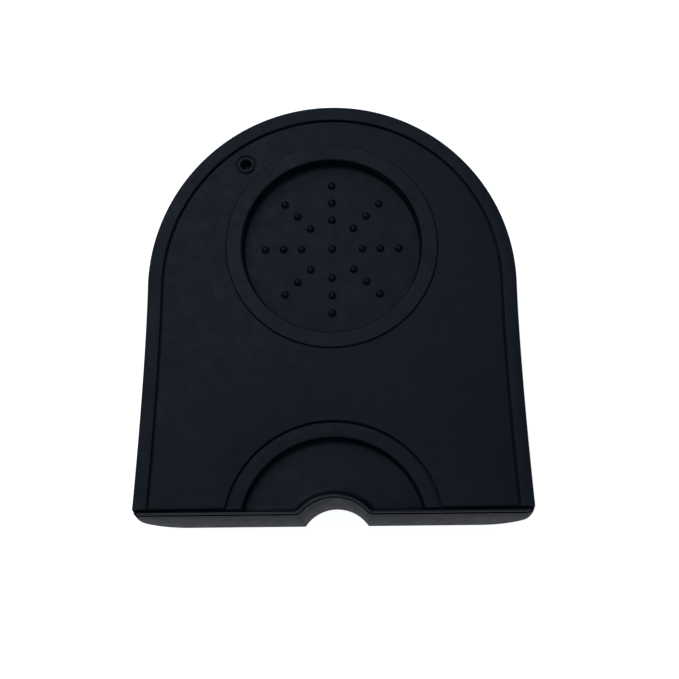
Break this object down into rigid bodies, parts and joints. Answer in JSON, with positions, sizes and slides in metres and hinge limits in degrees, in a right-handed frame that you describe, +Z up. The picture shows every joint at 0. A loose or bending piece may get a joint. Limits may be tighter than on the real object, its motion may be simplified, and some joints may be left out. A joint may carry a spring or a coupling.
{
  "type": "espresso tamping mat",
  "caption": "Moulded rubber mat that hooks over a worktop's front edge, with a round studded tamper seat and a half-round portafilter seat notched for the spout.",
  "frame": {"origin": "on the flat underside that lies on the worktop, under the centre of the round back end", "axes": "+Z up from the worktop, -Y towards the front lip and the user, +X to the right as the user faces the mat"},
  "size_m": [0.1378, 0.1485, 0.0253],
  "materials": {
    "base_rubber": "matte",
    "panel_rubber": "satin",
    "rim_rubber": "satin",
    "lip_rubber": "satin",
    "bead_rubber": "satin",
    "ring_rubber": "satin",
    "seat_rubber": "satin",
    "stud_rubber": "satin",
    "step_rubber": "satin",
    "half_seat_rubber": "satin",
    "boss_rubber": "satin"
  },
  "bodies": {
    "root": {"base_sheet": "base_rubber", "top_panel": "panel_rubber", "border_rim": "rim_rubber", "front_lip": "lip_rubber", "front_bead": "bead_rubber", "tamper_ring": "ring_rubber", "tamper_seat": "seat_rubber", "stud_centre": "stud_rubber", "stud_arm1_1": "stud_rubber", "stud_arm1_2": "stud_rubber", "stud_arm1_3": "stud_rubber", "stud_arm2_1": "stud_rubber", "stud_arm2_2": "stud_rubber", "stud_arm2_3": "stud_rubber", "stud_arm3_1": "stud_rubber", "stud_arm3_2": "stud_rubber", "stud_arm3_3": "stud_rubber", "stud_arm4_1": "stud_rubber", "stud_arm4_2": "stud_rubber", "stud_arm4_3": "stud_rubber", "stud_arm5_1": "stud_rubber", "stud_arm5_2": "stud_rubber", "stud_arm5_3": "stud_rubber", "stud_arm6_1": "stud_rubber", "stud_arm6_2": "stud_rubber", "stud_arm6_3": "stud_rubber", "stud_arm7_1": "stud_rubber", "stud_arm7_2": "stud_rubber", "stud_arm7_3": "stud_rubber", "stud_arm8_1": "stud_rubber", "stud_arm8_2": "stud_rubber", "stud_arm8_3": "stud_rubber", "portafilter_step": "step_rubber", "portafilter_seat": "half_seat_rubber", "gate_boss": "boss_rubber"}
  },
  "joints": []
}
